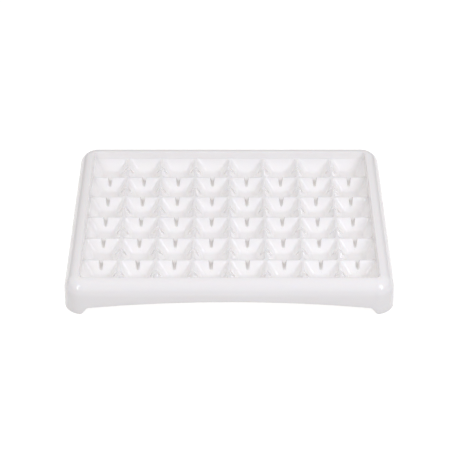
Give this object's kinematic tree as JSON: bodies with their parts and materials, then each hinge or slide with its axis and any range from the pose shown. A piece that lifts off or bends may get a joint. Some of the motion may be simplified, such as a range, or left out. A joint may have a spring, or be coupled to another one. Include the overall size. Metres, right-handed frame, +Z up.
{
  "type": "plug tray",
  "caption": "Rigid white plug tray with tapered cells joined by notched dividers, inside a rolled rim with an arched skirt that stands on its corners.",
  "frame": {"origin": "on the ground, under the middle of the tray", "axes": "+X along the long side, +Y along the short side towards the back, +Z up"},
  "size_m": [0.2668, 0.2068, 0.0287],
  "materials": {
    "tray_plastic": "gloss"
  },
  "bodies": {
    "root": {"cell_row1_col1": "tray_plastic", "cell_row1_col2": "tray_plastic", "cell_row1_col3": "tray_plastic", "cell_row1_col4": "tray_plastic", "cell_row1_col5": "tray_plastic", "cell_row1_col6": "tray_plastic", "cell_row1_col7": "tray_plastic", "cell_row1_col8": "tray_plastic", "cell_row2_col1": "tray_plastic", "cell_row2_col2": "tray_plastic", "cell_row2_col3": "tray_plastic", "cell_row2_col4": "tray_plastic", "cell_row2_col5": "tray_plastic", "cell_row2_col6": "tray_plastic", "cell_row2_col7": "tray_plastic", "cell_row2_col8": "tray_plastic", "cell_row3_col1": "tray_plastic", "cell_row3_col2": "tray_plastic", "cell_row3_col3": "tray_plastic", "cell_row3_col4": "tray_plastic", "cell_row3_col5": "tray_plastic", "cell_row3_col6": "tray_plastic", "cell_row3_col7": "tray_plastic", "cell_row3_col8": "tray_plastic", "cell_row4_col1": "tray_plastic", "cell_row4_col2": "tray_plastic", "cell_row4_col3": "tray_plastic", "cell_row4_col4": "tray_plastic", "cell_row4_col5": "tray_plastic", "cell_row4_col6": "tray_plastic", "cell_row4_col7": "tray_plastic", "cell_row4_col8": "tray_plastic", "cell_row5_col1": "tray_plastic", "cell_row5_col2": "tray_plastic", "cell_row5_col3": "tray_plastic", "cell_row5_col4": "tray_plastic", "cell_row5_col5": "tray_plastic", "cell_row5_col6": "tray_plastic", "cell_row5_col7": "tray_plastic", "cell_row5_col8": "tray_plastic", "cell_row6_col1": "tray_plastic", "cell_row6_col2": "tray_plastic", "cell_row6_col3": "tray_plastic", "cell_row6_col4": "tray_plastic", "cell_row6_col5": "tray_plastic", "cell_row6_col6": "tray_plastic", "cell_row6_col7": "tray_plastic", "cell_row6_col8": "tray_plastic", "rim_back": "tray_plastic", "rim_front": "tray_plastic", "rim_left": "tray_plastic", "rim_right": "tray_plastic", "corner_back_right": "tray_plastic", "corner_back_left": "tray_plastic", "corner_front_left": "tray_plastic", "corner_front_right": "tray_plastic"}
  },
  "joints": []
}
